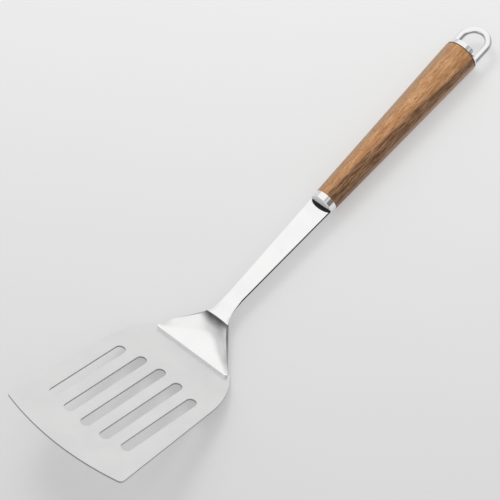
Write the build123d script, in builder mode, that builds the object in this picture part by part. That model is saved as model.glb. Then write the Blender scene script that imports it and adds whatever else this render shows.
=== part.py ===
"""Grill spatula: slotted sheet blade, cranked steel shank, turned wooden grip and hanging loop.

It is modelled lying on a table: the blade's heel, its rear edge, and the tail of the grip touch
z = 0, so the blade slopes up from its heel to its front edge. X runs from the front edge to the
loop, Y across the blade, Z up. Units are millimetres and degrees.
"""

import os
from math import atan2, cos, radians, sin, sqrt, tan

from build123d import *

# ---- driving dimensions ------------------------------------------------------------------

# blade, in its own plane: x is measured from the heel, negative towards the front edge
blade_gauge = 1.5
blade_length = 139.4
blade_front_width = 108.6
front_edge_radius = 200.0
front_corner_radius = 3.5
shoulder_x = -18.5
shoulder_width = 95.7
shoulder_radius = 55.0
heel_width = 67.8

slot_count = 5
slot_pitch = 17.0
slot_width = 8.1
slot_front_x = -110.0
slot_front_arc = 140.0
slot_rear_x = -36.3
slot_rear_arc = 118.0

weld_diameter = 4.0
weld_depth = 0.3
weld_pitch = 18.0
weld_count = 3

# shank, one gauge of strip from the lap on the blade to the tang in the grip
shank_gauge = 2.2
shank_angle = 26.0
riser_angle = 80.0
riser_radius = 22.4
crease_angle = 50.0
crease_drop = 1.8
rim_arch = 1.9
lap_front_x = -4.6
lap_width = 66.6
lap_corner_radius = 2.0
lap_side_x = -2.5
flare_x = 20.0
flare_width = 21.8
neck_x = 38.0
neck_width = 11.7
neck_curve = 5.0
shank_end_width = 17.8
tang_width = 12.0
tang_length = 46.0

# grip, measured along its axis from the point where that axis meets the blade's underside
axis_foot = 25.95
crease_station = 50.6
ferrule_station = 164.6
ferrule_length = 5.4
ferrule_radius = 9.4
ferrule_wall = 0.8
ferrule_face = 3.2
ferrule_rim = 0.6
ferrule_recess_angle = 14.0
ferrule_edge_radius = 0.4
grip_tail_station = 325.6
grip_tail_radius = 13.7
grip_tail_rounding = 1.8
tang_bore = 13.0
tang_bore_depth = 44.0
rod_bore = 6.4

# fixings inside the tail of the grip
rod_diameter = 6.0
rod_lap = 14.0
rod_thread_proud = 1.5
rod_chamfer = 0.6
counterbore_diameter = 14.0
counterbore_depth = 12.0
washer_diameter = 12.0
washer_gauge = 1.6
nut_across_flats = 10.0
nut_height = 5.0

# end cap and hanging loop
flange_radius = 13.6
flange_gauge = 0.9
spigot_length = 3.3
boss_radius = 12.9
boss_height = 3.5
boss_edge_radius = 0.6
loop_outer_radius = 13.6
loop_bar_width = 5.2
loop_bar_gauge = 4.2
loop_edge_rounding = 1.9
loop_straight = 13.7

# ---- places worked out from them -----------------------------------------------------------

half_gauge = shank_gauge / 2
slope = radians(shank_angle)
riser_slope = radians(riser_angle)
crease_slope = radians(crease_angle)

# the shank's underside in the blade's frame: at the crease, neck, strip end and riser's foot
crease_x = -axis_foot + crease_station * cos(slope) + half_gauge * sin(slope)
crease_z = crease_station * sin(slope) - half_gauge * cos(slope)
neck_z = crease_z + (neck_x - crease_x) * tan(slope)
strip_end_x = -axis_foot + ferrule_station * cos(slope) + half_gauge * sin(slope)
riser_foot_x = crease_x - (crease_z - blade_gauge) / tan(riser_slope)

# centre of the rounded bend between lap and riser
bend_x = riser_foot_x - riser_radius * tan(riser_slope / 2)
bend_z = blade_gauge + riser_radius

# the grip touches the table where its taper meets the rounding of its tail
grip_front_station = ferrule_station + ferrule_length
grip_taper = (grip_tail_radius - ferrule_radius) / (grip_tail_station - grip_front_station)
touch_station = grip_tail_station - grip_tail_rounding
touch_radius = grip_tail_radius - grip_taper * grip_tail_rounding

# slopes of the grip and of the blade when heel and tail both stand on the table
touch_run = touch_station - axis_foot * cos(slope)
touch_rise = touch_radius - axis_foot * sin(slope)
lean = atan2(touch_rise, touch_run)
tilt = slope - lean

flange_station = grip_tail_station + flange_gauge
loop_station = flange_station + loop_straight
loop_end_station = loop_station + loop_outer_radius
tang_end_station = ferrule_station + tang_length
counterbore_floor = grip_tail_station - counterbore_depth

# the foot of the grip's axis, placed so that the whole tool is centred on the origin
foot_z = touch_radius * cos(lean) - touch_station * sin(lean)
front_reach = (blade_length - axis_foot) * cos(tilt)
rear_reach = loop_end_station * cos(lean)
foot_x = (front_reach - rear_reach) / 2

blade_x_dir = Vector(cos(tilt), 0, -sin(tilt))
grip_x_dir = Vector(cos(lean), 0, sin(lean))
foot = Vector(foot_x, 0, foot_z)
blade_frame = Plane(
    origin=foot + blade_x_dir * axis_foot,
    x_dir=blade_x_dir,
    z_dir=(sin(tilt), 0, cos(tilt)),
)
grip_frame = Plane(origin=foot, x_dir=grip_x_dir, z_dir=(-sin(lean), 0, cos(lean)))
grip_axis = Axis(origin=foot, direction=grip_x_dir)


def side_plane(frame):
    """The frame's own side view: its x along, its z up, looking along +Y."""
    return Plane(origin=frame.origin, x_dir=frame.x_dir, z_dir=(0, -1, 0))


def station_plane(station):
    """A plane square across the grip's axis: Y to the right, up the page."""
    place = grip_frame.from_local_coords((station, 0, 0))
    return Plane(origin=place, x_dir=(0, 1, 0), z_dir=grip_frame.x_dir)


def sagitta(radius, offset):
    """How far an arc falls back at this distance from its middle."""
    return radius - sqrt(radius**2 - offset**2)


# ---- blade ---------------------------------------------------------------------------------

half_front = blade_front_width / 2
front_corner_x = -blade_length + sagitta(front_edge_radius, half_front)
half_blade = [
    (front_corner_x, half_front),
    (shoulder_x, shoulder_width / 2),
    (0, heel_width / 2),
]
other_half = [(x, -y) for x, y in reversed(half_blade)]

with BuildPart() as blade:
    with BuildSketch(blade_frame):
        with BuildLine():
            ThreePointArc(other_half[-1], (-blade_length, 0), half_blade[0])
            Polyline(*half_blade, *other_half)
        make_face()
        tips = vertices().sort_by(Axis.Y)
        fillet([tips[0], tips[-1]], front_corner_radius)
        shoulders = vertices().filter_by(lambda v: abs(v.X - shoulder_x) < 1)
        fillet(shoulders, shoulder_radius)
    extrude(amount=blade_gauge)
    for row in range(slot_count):
        slot_y = (row - (slot_count - 1) / 2) * slot_pitch
        slot_front = slot_front_x + sagitta(slot_front_arc, slot_y)
        slot_rear = slot_rear_x - sagitta(slot_rear_arc, slot_y)
        with BuildSketch(blade_frame):
            with Locations(((slot_front + slot_rear) / 2, slot_y)):
                SlotCenterToCenter(slot_rear - slot_front, slot_width)
        extrude(amount=blade_gauge, mode=Mode.SUBTRACT)
    with BuildSketch(blade_frame):
        with Locations((lap_front_x / 2, 0)):
            with GridLocations(0, weld_pitch, 1, weld_count):
                Circle(weld_diameter / 2)
    extrude(amount=weld_depth, mode=Mode.SUBTRACT)
blade.part.label = "blade"

# ---- shank: lap, dished fan, neck and strip, then the tang inside the grip -------------------

def half_width(x):
    """Half the width of the pressing at this distance behind the blade's heel."""
    if x < flare_x:
        share = (x - lap_side_x) / (flare_x - lap_side_x)
        return (lap_width + (flare_width - lap_width) * share) / 2
    share = max(neck_x - x, 0) / (neck_x - flare_x)
    return (neck_width + (flare_width - neck_width) * share**neck_curve) / 2


def rim_rise(x, z, turned):
    """How far the fan's rim, a low arch from the lap to the crease, stands above its middle."""
    rim_run = crease_x + crease_drop * sin(crease_slope) - lap_side_x
    rim_climb = crease_z - crease_drop * cos(crease_slope) - blade_gauge
    rim_slope = atan2(rim_climb, rim_run)
    gap = (x - lap_side_x) * sin(rim_slope) - (z - blade_gauge) * cos(rim_slope)
    share = min((x - lap_side_x) / rim_run, 1)
    return (gap + 4 * rim_arch * share * (1 - share)) / cos(turned - rim_slope)


def dished_slice(x, z, turned, rise, gauge=shank_gauge):
    """A slice square to the sheet's run: underside's middle at x, z, its rims raised by rise."""
    middle = blade_frame.from_local_coords((x, 0, z))
    run = blade_x_dir * cos(turned) + blade_frame.z_dir * sin(turned)
    half = half_width(x - rise * sin(turned))
    rim_slope = atan2(2 * rise, half)
    inset = gauge * sin(rim_slope)
    rim_top = rise + gauge * cos(rim_slope)
    with BuildSketch(Plane(origin=middle, x_dir=(0, 1, 0), z_dir=run)) as cut:
        with BuildLine():
            Bezier((-half, rise), (0, -rise), (half, rise))
            Line((half, rise), (half - inset, rim_top))
            Bezier((half - inset, rim_top), (0, 2 * gauge - rim_top), (inset - half, rim_top))
            Line((inset - half, rim_top), (-half, rise))
        make_face()
    return cut.sketch


# slices of the fan from the lap, round the bend at the riser's foot and up to the crease
bend_slices = 5
fan_places = [(lap_side_x, blade_gauge, 0)]
for step in range(bend_slices + 1):
    turned = riser_slope * step / bend_slices
    x = bend_x + riser_radius * sin(turned)
    z = bend_z - riser_radius * cos(turned)
    fan_places.append((x, z, turned))
fan_slices = [dished_slice(*place, rim_rise(*place)) for place in fan_places]
crease_gauge = shank_gauge / cos(crease_slope - slope)
crease_slice = dished_slice(crease_x, crease_z, crease_slope, -crease_drop, crease_gauge)
fan_slices.append(crease_slice)

# slices of the neck, which flattens as it narrows
neck_steps = 4
neck_slices = [crease_slice]
for step in range(1, neck_steps + 1):
    share = step / neck_steps
    x = crease_x + (neck_x - crease_x) * share
    z = crease_z + (neck_z - crease_z) * share
    neck_slices.append(dished_slice(x, z, slope, -crease_drop * (1 - share)))

neck_foot = blade_frame.from_local_coords((neck_x, 0, neck_z))
strip_length = (strip_end_x - neck_x) / cos(slope)
strip_plane = Plane(origin=neck_foot, x_dir=grip_x_dir, z_dir=grip_frame.z_dir)

with BuildPart() as shank:
    with BuildSketch(blade_frame.offset(blade_gauge)):
        with Locations(((lap_front_x + lap_side_x) / 2, 0)):
            Rectangle(lap_side_x - lap_front_x, lap_width)
        fillet(vertices().group_by(Axis.X)[0], lap_corner_radius)
    extrude(amount=shank_gauge)
    loft(fan_slices)
    loft(neck_slices)
    with BuildSketch(strip_plane):
        with BuildLine():
            Polyline(
                (0, neck_width / 2),
                (strip_length, shank_end_width / 2),
                (strip_length, -shank_end_width / 2),
                (0, -neck_width / 2),
                close=True,
            )
        make_face()
    extrude(amount=shank_gauge)
    with BuildSketch(station_plane(ferrule_station)):
        Rectangle(tang_width, shank_gauge)
    extrude(amount=tang_length)
shank.part.label = "shank"

# ---- ferrule: a turned cup with a hollow face and a slot for the tang ------------------------

recess_radius = ferrule_radius - ferrule_rim
recess_depth = recess_radius * tan(radians(ferrule_recess_angle))

with BuildPart() as ferrule:
    with BuildSketch(station_plane(ferrule_station)):
        Circle(ferrule_radius)
    extrude(amount=ferrule_length)
    rims = edges().filter_by(GeomType.CIRCLE).sort_by(grip_axis)
    fillet(rims[0], ferrule_edge_radius)
    with BuildSketch(side_plane(grip_frame)):
        with BuildLine():
            Polyline(
                (ferrule_station, 0),
                (ferrule_station, recess_radius),
                (ferrule_station + recess_depth, 0),
                close=True,
            )
        make_face()
    revolve(axis=grip_axis, mode=Mode.SUBTRACT)
    with BuildSketch(station_plane(ferrule_station + ferrule_face)):
        Circle(ferrule_radius - ferrule_wall)
    extrude(amount=ferrule_length, mode=Mode.SUBTRACT)
    with BuildSketch(station_plane(ferrule_station)):
        Rectangle(tang_width, shank_gauge)
    extrude(amount=ferrule_face, mode=Mode.SUBTRACT)
ferrule.part.label = "ferrule"

# ---- wooden grip: turned taper, a nose inside the ferrule, bored right through ----------------

nose_station = ferrule_station + ferrule_face

with BuildPart() as grip:
    with BuildSketch(side_plane(grip_frame)):
        with BuildLine():
            Polyline(
                (nose_station, 0),
                (nose_station, ferrule_radius - ferrule_wall),
                (grip_front_station, ferrule_radius - ferrule_wall),
                (grip_front_station, ferrule_radius),
                (grip_tail_station, grip_tail_radius),
                (grip_tail_station, 0),
                close=True,
            )
        make_face()
        tail_corner = vertices().sort_by(Axis.Y)[-1]
        fillet(tail_corner, grip_tail_rounding)
    revolve(axis=grip_axis)
    for start, depth, bore in (
        (nose_station, tang_bore_depth, tang_bore),
        (nose_station, grip_tail_station - nose_station, rod_bore),
        (counterbore_floor, counterbore_depth, counterbore_diameter),
    ):
        with BuildSketch(station_plane(start)):
            Circle(bore / 2)
        extrude(amount=depth, mode=Mode.SUBTRACT)
grip.part.label = "grip"

# ---- tie rod: slotted over the tang, threaded at the tail --------------------------------------

rod_start = tang_end_station - rod_lap
rod_end = counterbore_floor + washer_gauge + nut_height + rod_thread_proud

with BuildPart() as tie_rod:
    with BuildSketch(station_plane(rod_start)):
        Circle(rod_diameter / 2)
    extrude(amount=rod_end - rod_start)
    ends = edges().filter_by(GeomType.CIRCLE).sort_by(grip_axis)
    chamfer(ends[-1], rod_chamfer)
    with BuildSketch(station_plane(rod_start)):
        Rectangle(rod_diameter, shank_gauge)
    extrude(amount=rod_lap, mode=Mode.SUBTRACT)
tie_rod.part.label = "tie_rod"

with BuildPart() as clamp_washer:
    with BuildSketch(station_plane(counterbore_floor)):
        Circle(washer_diameter / 2)
        Circle(rod_bore / 2, mode=Mode.SUBTRACT)
    extrude(amount=washer_gauge)
clamp_washer.part.label = "clamp_washer"

with BuildPart() as clamp_nut:
    with BuildSketch(station_plane(counterbore_floor + washer_gauge)):
        RegularPolygon(nut_across_flats / 2, 6, major_radius=False)
        Circle(rod_diameter / 2, mode=Mode.SUBTRACT)
    extrude(amount=nut_height)
clamp_nut.part.label = "clamp_nut"

# ---- end cap: a disc on the wood, a spigot in the counterbore, a boss between the loop's legs --

loop_inner_radius = loop_outer_radius - loop_bar_width

with BuildPart() as end_cap:
    with BuildSketch(station_plane(grip_tail_station)):
        Circle(flange_radius)
    extrude(amount=flange_gauge)
    with BuildSketch(station_plane(grip_tail_station)):
        Circle(counterbore_diameter / 2)
    extrude(amount=-spigot_length)
    with BuildSketch(station_plane(flange_station)):
        Circle(boss_radius)
        Rectangle(2 * loop_inner_radius, 2 * flange_radius, mode=Mode.INTERSECT)
    extrude(amount=boss_height)
    boss_rim = faces().sort_by(grip_axis)[-1].edges()
    fillet(boss_rim.filter_by(GeomType.CIRCLE), boss_edge_radius)
end_cap.part.label = "end_cap"

# ---- hanging loop: one bent bar whose legs stand on the cap ------------------------------------

with BuildPart() as hanging_loop:
    with BuildSketch(grip_frame):
        for radius, how in ((loop_outer_radius, Mode.ADD), (loop_inner_radius, Mode.SUBTRACT)):
            with Locations((loop_station, 0)):
                Circle(radius, mode=how)
            with Locations((loop_station - loop_straight / 2, 0)):
                Rectangle(loop_straight, 2 * radius, mode=how)
    extrude(amount=loop_bar_gauge / 2, both=True)
    long_edges = edges().filter_by(lambda e: abs(e.tangent_at(0.5).dot(grip_frame.z_dir)) < 0.5)
    long_edges = long_edges.filter_by(
        lambda e: grip_frame.to_local_coords(e.center()).X > flange_station + 0.1
    )
    fillet(long_edges, loop_edge_rounding)
hanging_loop.part.label = "hanging_loop"

# ---- one STEP file for each piece ----------------------------------------------------------------

os.makedirs("parts", exist_ok=True)
pieces = (
    blade,
    shank,
    ferrule,
    grip,
    tie_rod,
    clamp_washer,
    clamp_nut,
    end_cap,
    hanging_loop,
)
for piece in pieces:
    export_step(piece.part, f"parts/{piece.part.label}.step")
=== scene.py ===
"""Looks of the grill spatula: camera, studio light, floor and one procedural material per finish.

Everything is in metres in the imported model's frame: X runs from the blade's front edge to the
hanging loop, Y across the blade, Z up from the table.
"""

from math import cos, radians, sin

import bpy
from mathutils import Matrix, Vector


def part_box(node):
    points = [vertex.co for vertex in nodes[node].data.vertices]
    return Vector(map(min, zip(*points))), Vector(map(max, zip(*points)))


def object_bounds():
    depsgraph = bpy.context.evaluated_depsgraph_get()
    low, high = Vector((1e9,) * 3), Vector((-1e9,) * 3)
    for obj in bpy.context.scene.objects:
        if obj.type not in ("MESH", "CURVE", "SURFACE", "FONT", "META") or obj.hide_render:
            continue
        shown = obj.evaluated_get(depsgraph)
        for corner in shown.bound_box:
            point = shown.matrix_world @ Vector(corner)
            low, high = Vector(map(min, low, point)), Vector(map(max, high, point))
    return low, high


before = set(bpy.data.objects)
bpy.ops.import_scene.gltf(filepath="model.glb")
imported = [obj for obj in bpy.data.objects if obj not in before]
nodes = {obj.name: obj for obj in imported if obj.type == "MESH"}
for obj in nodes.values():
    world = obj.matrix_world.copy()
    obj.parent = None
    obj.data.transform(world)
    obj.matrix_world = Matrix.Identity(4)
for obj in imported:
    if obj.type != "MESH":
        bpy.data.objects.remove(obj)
cad_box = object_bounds()
scene = bpy.context.scene

# ---- places taken from the frame -----------------------------------------------------------

blade_low, blade_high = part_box("blade")
ferrule_low, ferrule_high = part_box("ferrule")
grip_low, grip_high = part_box("grip")

grip_tail_radius = (grip_high.y - grip_low.y) / 2
ferrule_radius = (ferrule_high.y - ferrule_low.y) / 2
grip_tail = Vector((grip_high.x, 0, grip_low.z + grip_tail_radius))
ferrule_middle = (ferrule_low + ferrule_high) / 2
grip_front = Vector((ferrule_low.x, 0, ferrule_middle.z))
grip_length = (grip_tail - grip_front).length

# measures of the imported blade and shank
blade_tilt = radians(25.566)
blade_gauge = 0.0015
lap_length = 0.0026
crease_behind_heel = 0.0262

blade_up = Vector((sin(blade_tilt), 0, cos(blade_tilt)))
blade_back = Vector((cos(blade_tilt), 0, -sin(blade_tilt)))
heel = Vector((blade_high.x - blade_gauge * sin(blade_tilt), 0, blade_low.z))
crease = Vector((heel.x + crease_behind_heel, 0, 0))

# the painted dark lens on the strip at the ferrule's mouth, painted shade and reflection
mouth_middle = grip_front + Vector((0, -0.0012, 0))
mouth_length = 0.0039
mouth_half_width = 0.0095

along_x = Vector((1, 0, 0))
along_y = Vector((0, 1, 0))
along_z = Vector((0, 0, 1))


def direction(azimuth, elevation):
    """Unit vector at this azimuth from +X and this height above the horizon, in degrees."""
    a, e = radians(azimuth), radians(elevation)
    return Vector((cos(a) * cos(e), sin(a) * cos(e), sin(e)))


# ---- node helpers --------------------------------------------------------------------------

class Nodes:
    """Short ways to add and wire the nodes of one tree. A value may be a socket or a constant."""

    def __init__(self, tree):
        self.tree = tree

    def add(self, kind, **settings):
        node = self.tree.nodes.new(kind)
        for name, value in settings.items():
            setattr(node, name, value)
        return node

    def feed(self, socket, value):
        if isinstance(value, bpy.types.NodeSocket):
            self.tree.links.new(value, socket)
        else:
            socket.default_value = value

    def math(self, operation, a, b=0.0, c=0.0):
        node = self.add("ShaderNodeMath", operation=operation)
        for socket, value in zip(node.inputs, (a, b, c)):
            self.feed(socket, value)
        return node.outputs[0]

    def smooth(self, value, low, high, out_low=0.0, out_high=1.0):
        node = self.add("ShaderNodeMapRange", interpolation_type="SMOOTHSTEP")
        for socket, given in zip(node.inputs, (value, low, high, out_low, out_high)):
            self.feed(socket, given)
        return node.outputs[0]

    def dot(self, vector, direction):
        node = self.add("ShaderNodeVectorMath", operation="DOT_PRODUCT")
        self.feed(node.inputs[0], vector)
        self.feed(node.inputs[1], direction)
        return node.outputs["Value"]

    def mix(self, factor, a, b):
        node = self.add("ShaderNodeMix", data_type="RGBA", clamp_factor=True)
        self.feed(node.inputs["Factor"], factor)
        self.feed(node.inputs[6], a)
        self.feed(node.inputs[7], b)
        return node.outputs[2]

    def noise(self, vector, scale, detail=2.0, roughness=0.5, distortion=0.0):
        node = self.add("ShaderNodeTexNoise")
        self.feed(node.inputs["Vector"], vector)
        self.feed(node.inputs["Scale"], scale)
        self.feed(node.inputs["Detail"], detail)
        self.feed(node.inputs["Roughness"], roughness)
        self.feed(node.inputs["Distortion"], distortion)
        return node.outputs["Fac"]

    def stretched(self, vector, scale):
        node = self.add("ShaderNodeVectorMath", operation="MULTIPLY")
        self.feed(node.inputs[0], vector)
        self.feed(node.inputs[1], scale)
        return node.outputs[0]

    def shifted(self, vector, step):
        node = self.add("ShaderNodeVectorMath", operation="ADD")
        self.feed(node.inputs[0], vector)
        self.feed(node.inputs[1], step)
        return node.outputs[0]

    def bump(self, height, distance, under=None):
        node = self.add("ShaderNodeBump")
        self.feed(node.inputs["Height"], height)
        self.feed(node.inputs["Distance"], distance)
        if under is not None:
            self.feed(node.inputs["Normal"], under)
        return node.outputs[0]


def grey(value, warmth=0.0):
    """A grey as a colour, a little warm where warmth is over zero."""
    return (value * (1 + warmth), value, value * (1 - warmth), 1.0)


def new_material(name):
    """An empty material and its shader, with the helpers for its nodes."""
    material = bpy.data.materials.new(name)
    material.use_nodes = True
    tree = Nodes(material.node_tree)
    shader = material.node_tree.nodes["Principled BSDF"]
    place = tree.add("ShaderNodeTexCoord").outputs["Object"]
    return material, tree, shader, place


# ---- where the steel is dull, and where shade is painted on it -----------------------------

def on_lap(tree, place):
    """1 on the part of the shank that lies flat on the blade, otherwise 0."""
    behind_heel = tree.dot(tree.shifted(place, -heel), blade_back)
    return tree.math("LESS_THAN", behind_heel, -lap_length)


def outward(tree, place, normal):
    """How far the surface looks away from the tool's middle plane."""
    side = tree.math("SIGN", tree.dot(place, along_y))
    return tree.math("MULTIPLY", tree.dot(normal, along_y), side)


def past_crease(tree, place):
    """How far the place lies behind the crease, towards the grip."""
    return tree.dot(tree.shifted(place, -crease), along_x)


# Each of these gives 1 on one kind of dull place or of painted shade, 0 elsewhere and a soft step
# between.

def blade_edges(tree, place, normal):
    """Where the surface is a cut edge: it doesn't look along the blade's normal."""
    facing = tree.math("ABSOLUTE", tree.dot(normal, blade_up))
    return tree.smooth(facing, 0.75, 0.35)


def fan_edges(tree, place, normal):
    """Where the shank's surface is the cut rim of the fan."""
    rim = tree.smooth(outward(tree, place, normal), 0.42, 0.52)
    return tree.math("MULTIPLY", rim, tree.math("SUBTRACT", 1, on_lap(tree, place)))


def strip_edges(tree, place, normal):
    """Where the shank's surface is a cut side of the neck or the strip."""
    behind = tree.smooth(past_crease(tree, place), -0.002, 0.002)
    return tree.math("MULTIPLY", fan_edges(tree, place, normal), behind)


def lap_edges(tree, place, normal):
    """Where the shank's surface is the satin edge of its lap on the blade."""
    return tree.math("MULTIPLY", on_lap(tree, place), blade_edges(tree, place, normal))


def painted_crease_shade(tree, place, normal):
    """Painted shade in the corner under the crease, darkest at the crease and fading down the riser."""
    behind = past_crease(tree, place)
    fading = tree.smooth(behind, -0.0062, 0.0)
    return tree.math("MULTIPLY", fading, tree.smooth(behind, 0.0009, 0.0003))


def painted_mouth_lens(tree, place, normal):
    """Painted shade and reflection: a dark lens on the strip at the ferrule's mouth."""
    off_centre = tree.shifted(place, -mouth_middle)
    away = tree.add("ShaderNodeVectorMath", operation="LENGTH")
    tree.feed(away.inputs[0], tree.stretched(off_centre, (1 / mouth_length, 1 / mouth_half_width, 0)))
    lens = tree.smooth(away.outputs["Value"], 1.05, 0.93)
    in_front = tree.smooth(tree.dot(off_centre, along_x), 0.0001, -0.0004)
    return tree.math("MULTIPLY", lens, in_front)


def facing_blade(tree, place, normal):
    """The hollow face of the ferrule, which looks towards the blade and isn't polished."""
    return tree.smooth(tree.dot(normal, -along_x), 0.70, 0.90)


def bar_sides(tree, place, normal):
    """The flanks of the loop's bar, where painted shade makes them darker than its two faces."""
    return tree.smooth(tree.math("ABSOLUTE", tree.dot(normal, along_z)), 0.80, 0.30)


# ---- materials -----------------------------------------------------------------------------

grain_height = 0.000002


def steel(name, tone, roughness, spread, wave, marks_dull_and_shaded=()):
    """Polished or satin steel: fine grain along X, slow waves in the sheet, dull places and painted
    shade.

    spread is how far the grain and the cloud vary the roughness, and wave is the height of the
    slow waves. The last argument holds, for each kind of dull place and of painted shade, where it is,
    its tone and its roughness.
    """
    material, tree, shader, place = new_material(name)
    grain = tree.noise(tree.stretched(place, (0.04, 1, 1)), 2600, detail=3, roughness=0.6)
    cloud = tree.noise(place, 55, detail=3)
    rough = tree.math("MULTIPLY_ADD", grain, spread, roughness - spread / 2)
    rough = tree.math("SUBTRACT", rough, spread * 0.3)
    rough = tree.math("MULTIPLY_ADD", cloud, spread * 0.6, rough)
    worn = tree.smooth(cloud, 0.35, 0.7)
    colour = tree.mix(worn, grey(tone, 0.004), grey(tone * 0.965))
    normal = tree.add("ShaderNodeNewGeometry").outputs["Normal"]
    for where, patch_tone, patch_roughness in marks_dull_and_shaded:
        share = where(tree, place, normal)
        colour = tree.mix(share, colour, grey(patch_tone))
        rough = tree.math("ADD", rough, tree.math("MULTIPLY", share, patch_roughness - roughness))
    shader.inputs["Metallic"].default_value = 1.0
    tree.feed(shader.inputs["Base Color"], colour)
    tree.feed(shader.inputs["Roughness"], rough)
    ripple = tree.noise(tree.stretched(place, (0.5, 1, 1)), 40, detail=1)
    waves = tree.bump(ripple, wave)
    tree.feed(shader.inputs["Normal"], tree.bump(grain, grain_height, waves))
    return material


sapwood = ((0.465, 0.228, 0.098, 1), (0.635, 0.363, 0.182, 1))
sapwood_streak = (0.36, 0.16, 0.06, 1)
# grey for the painted shade and sheen on the grip's side away from the heartwood
shade_and_sheen_grey = (0.36, 0.24, 0.155, 1)
heartwood = ((0.130, 0.058, 0.026, 1), (0.34, 0.19, 0.10, 1))
far_sapwood = ((0.50, 0.34, 0.25, 1), (0.34, 0.22, 0.15, 1))
pore_brown = (0.13, 0.05, 0.018, 1)
pore_height = 0.00004

# the heartwood's side as an angle around the grip from the top, and how far its edge wanders
heartwood_side = radians(120)
sway_width = 0.0044
rag_width = 0.0064


def acacia(name):
    """Oiled wood: pale sapwood over dark heartwood that narrows to a stripe at the tail.

    depth is how far a place lies towards the heartwood side, and turn is that depth as a share
    of the grip's radius there. The heartwood starts at the depth start, which grows along the
    grip, and ends where turn passes into the far sapwood.
    """
    material, tree, shader, place = new_material(name)
    spot = tree.shifted(place, -grip_front)
    parts = tree.add("ShaderNodeSeparateXYZ")
    tree.feed(parts.inputs[0], spot)
    along = tree.math("DIVIDE", parts.outputs["X"], grip_length)

    sway = tree.noise(tree.stretched(spot, (0.28, 1, 1)), 70, detail=3, roughness=0.55)
    sway = tree.math("MULTIPLY_ADD", sway, sway_width, -sway_width / 2)
    rag = tree.noise(tree.stretched(spot, (0.07, 1, 1)), 620, detail=4, roughness=0.65)
    rag = tree.math("MULTIPLY_ADD", rag, rag_width, -rag_width / 2)
    depth = tree.dot(spot, (0, -sin(heartwood_side), cos(heartwood_side)))
    radius = tree.math("MULTIPLY_ADD", along, grip_tail_radius - ferrule_radius, ferrule_radius)
    turn = tree.math("DIVIDE", depth, radius)
    ragged = tree.math("ADD", depth, tree.math("ADD", sway, rag))
    start = tree.math("MULTIPLY_ADD", tree.math("POWER", along, 1.5), 0.0104, -0.0033)
    dark = tree.smooth(tree.math("SUBTRACT", ragged, start), -0.0005, 0.0006)
    past = tree.smooth(tree.math("MULTIPLY_ADD", rag, 30, turn), 0.68, 0.82)
    past = tree.math("MULTIPLY", past, tree.smooth(along, -0.4, 0.9))
    # painted shade and sheen: the sapwood greys and darkens on the side away from the heartwood
    painted_shade_and_sheen = tree.smooth(turn, -0.60, -0.95)

    streak = tree.noise(tree.stretched(spot, (0.075, 1, 1)), 1150, detail=4, roughness=0.65)
    fleck = tree.noise(tree.stretched(spot, (0.25, 1, 1)), 1700, detail=2, roughness=0.6, distortion=0.4)
    figure = tree.noise(tree.stretched(spot, (0.22, 1, 1)), 260, detail=3, roughness=0.6, distortion=0.5)
    pale = tree.mix(tree.smooth(figure, 0.36, 0.64), *sapwood)
    pale = tree.mix(tree.smooth(streak, 0.44, 0.62, 0.0, 0.8), pale, sapwood_streak)
    pale = tree.mix(tree.smooth(along, 0.60, 0.25, 0.0, 0.22), pale, sapwood_streak)
    pale = tree.mix(tree.math("MULTIPLY", painted_shade_and_sheen, 0.75), pale, shade_and_sheen_grey)
    heart = tree.mix(tree.smooth(streak, 0.40, 0.62), *heartwood)
    far = tree.mix(tree.smooth(streak, 0.4, 0.6), *far_sapwood)
    colour = tree.mix(dark, pale, heart)
    colour = tree.mix(past, colour, far)
    pore = tree.smooth(fleck, 0.58, 0.66)
    colour = tree.mix(tree.math("MULTIPLY", pore, 0.6), colour, pore_brown)
    tree.feed(shader.inputs["Base Color"], colour)
    rough = tree.math("MULTIPLY_ADD", streak, 0.16, 0.40)
    tree.feed(shader.inputs["Roughness"], tree.math("MULTIPLY_ADD", pore, 0.2, rough))
    tree.feed(shader.inputs["Normal"], tree.bump(tree.math("SUBTRACT", streak, pore), pore_height))
    shader.inputs["Specular IOR Level"].default_value = 0.25
    return material


floor_rise = direction(24, 0)
floor_glow = (0.222, 0.468)
floor_glow_reach = 0.6


def floor_paper(name):
    """Matt studio sheet that glows a little, more so in the direction of floor_rise."""
    material, tree, shader, place = new_material(name)
    cloud = tree.noise(place, 6, detail=4)
    tree.feed(shader.inputs["Base Color"], tree.mix(cloud, grey(0.39), grey(0.41)))
    across = tree.dot(place, floor_rise)
    glow = tree.smooth(across, -floor_glow_reach, floor_glow_reach, *floor_glow)
    tree.feed(shader.inputs["Emission Strength"], glow)
    shader.inputs["Emission Color"].default_value = grey(1.0)
    shader.inputs["Roughness"].default_value = 0.9
    shader.inputs["Specular IOR Level"].default_value = 0.0
    return material


# where each dull place and each painted shade is, its tone and its roughness
# the blade's cut edges: duller, and darkened with painted shade
blade_edge_dull_and_shaded = (blade_edges, 0.42, 0.45)
shank_dull_and_shaded = [
    # painted shade in the corner under the crease
    (painted_crease_shade, 0.17, 0.25),
    # painted shade and reflection: the dark lens at the ferrule's mouth
    (painted_mouth_lens, 0.03, 0.45),
    # the fan's cut rim: duller, and darkened with painted shade
    (fan_edges, 0.42, 0.35),
    # the cut sides of the neck and strip: duller, and made near black with painted shade
    (strip_edges, 0.08, 0.45),
    (lap_edges, 0.95, 0.55),
]
pressed_face = (facing_blade, 0.97, 1.0)
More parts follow.
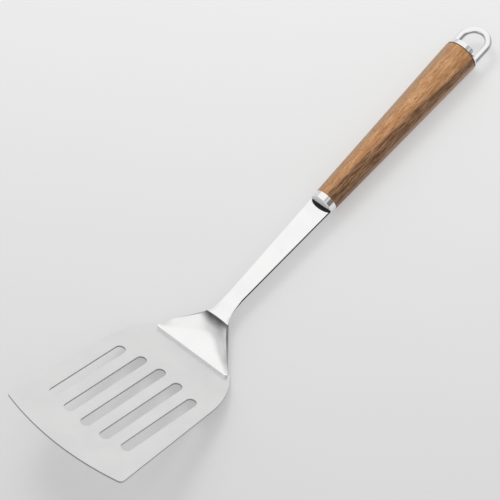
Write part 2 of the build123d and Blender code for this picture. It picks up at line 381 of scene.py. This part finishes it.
# the loop bar's flanks, duller and darkened with painted shade
bar_sides_painted_shade = (bar_sides, 0.42, 0.30)
finishes = {
    "blade": steel("satin_steel", 0.72, 0.34, 0.06, 0.00001, [blade_edge_dull_and_shaded]),
    "shank": steel("polished_steel", 0.92, 0.13, 0.03, 0.00001, shank_dull_and_shaded),
    "ferrule": steel("bright_ferrule", 0.90, 0.06, 0.02, 0.0, [pressed_face]),
    "end_cap": steel("bright_cap", 0.90, 0.07, 0.02, 0.0),
    "hanging_loop": steel("bright_loop", 0.90, 0.07, 0.02, 0.0, [bar_sides_painted_shade]),
    "grip": acacia("oiled_acacia"),
    "tie_rod": steel("zinc_rod", 0.60, 0.38, 0.1, 0.0),
    "clamp_washer": steel("zinc_washer", 0.60, 0.38, 0.1, 0.0),
    "clamp_nut": steel("zinc_nut", 0.60, 0.38, 0.1, 0.0),
}
for node_name, finish in finishes.items():
    mesh = nodes[node_name].data
    mesh.materials.clear()
    mesh.materials.append(finish)


# ---- floor ---------------------------------------------------------------------------------

floor_half = 3.0
floor_mesh = bpy.data.meshes.new("floor")
floor_signs = ((-1, -1), (1, -1), (1, 1), (-1, 1))
corners = [(floor_half * x, floor_half * y, cad_box[0][2]) for x, y in floor_signs]
floor_mesh.from_pydata(corners, [], [(0, 1, 2, 3)])
floor_mesh.materials.append(floor_paper("studio_paper"))
floor = bpy.data.objects.new("floor", floor_mesh)
scene.collection.objects.link(floor)


# ---- light ---------------------------------------------------------------------------------

# soft patches on the studio dome: azimuth, elevation, inner and outer half angle, brightness
dome_patches = {
    "far_wall": (75, 10, 25, 55, 0.72),
    "left_wall": (-130, 45, 20, 50, 0.95),
    "overhead_softbox": (55, 64, 25, 50, 1.0),
    "far_card": (26, 17, 16, 36, 1.0),
    "side_flag": (-71, 16, 16, 32, 0.2),
    "high_card": (-42, 56, 5, 13, 0.5),
}
dome_top = 0.92
dome_horizon = 0.15
dome_curve = 0.75


def studio_dome():
    """A dome that brightens with height, with the soft patches on it, as the world."""
    world = bpy.data.worlds.new("studio_dome")
    world.use_nodes = True
    tree = Nodes(world.node_tree)
    look = tree.add("ShaderNodeTexCoord").outputs["Generated"]
    height = tree.math("MAXIMUM", tree.dot(look, (0, 0, 1)), 0)
    height = tree.math("POWER", height, dome_curve)
    colour = tree.mix(height, grey(dome_horizon), grey(dome_top))
    for azimuth, elevation, inner, outer, brightness in dome_patches.values():
        closeness = tree.dot(look, direction(azimuth, elevation))
        share = tree.smooth(closeness, cos(radians(outer)), cos(radians(inner)))
        colour = tree.mix(share, colour, grey(brightness))
    background = world.node_tree.nodes["Background"]
    tree.feed(background.inputs["Color"], colour)
    scene.world = world


def area_light(name, place, target, width, power):
    """A square soft light at place that looks at target, hidden from glossy reflections."""
    data = bpy.data.lights.new(name, "AREA")
    data.size = width
    data.energy = power
    light = bpy.data.objects.new(name, data)
    light.visible_glossy = False
    light.location = place
    light.rotation_euler = (Vector(target) - Vector(place)).to_track_quat("-Z", "Y").to_euler()
    scene.collection.objects.link(light)


key_distance = 1.5
studio_dome()
area_light("key", direction(55, 60) * key_distance, (0, 0, 0), width=0.65, power=6)


# ---- camera --------------------------------------------------------------------------------

camera_data = bpy.data.cameras.new("camera")
camera_data.sensor_width = 36.0
camera_data.lens = 158.6
camera = bpy.data.objects.new("camera", camera_data)
camera.location = (-0.48981, -0.64829, 1.36724)
camera.rotation_euler = (radians(30.073), radians(7.901), radians(-48.555))
scene.collection.objects.link(camera)
scene.camera = camera
scene.view_settings.view_transform = "Standard"
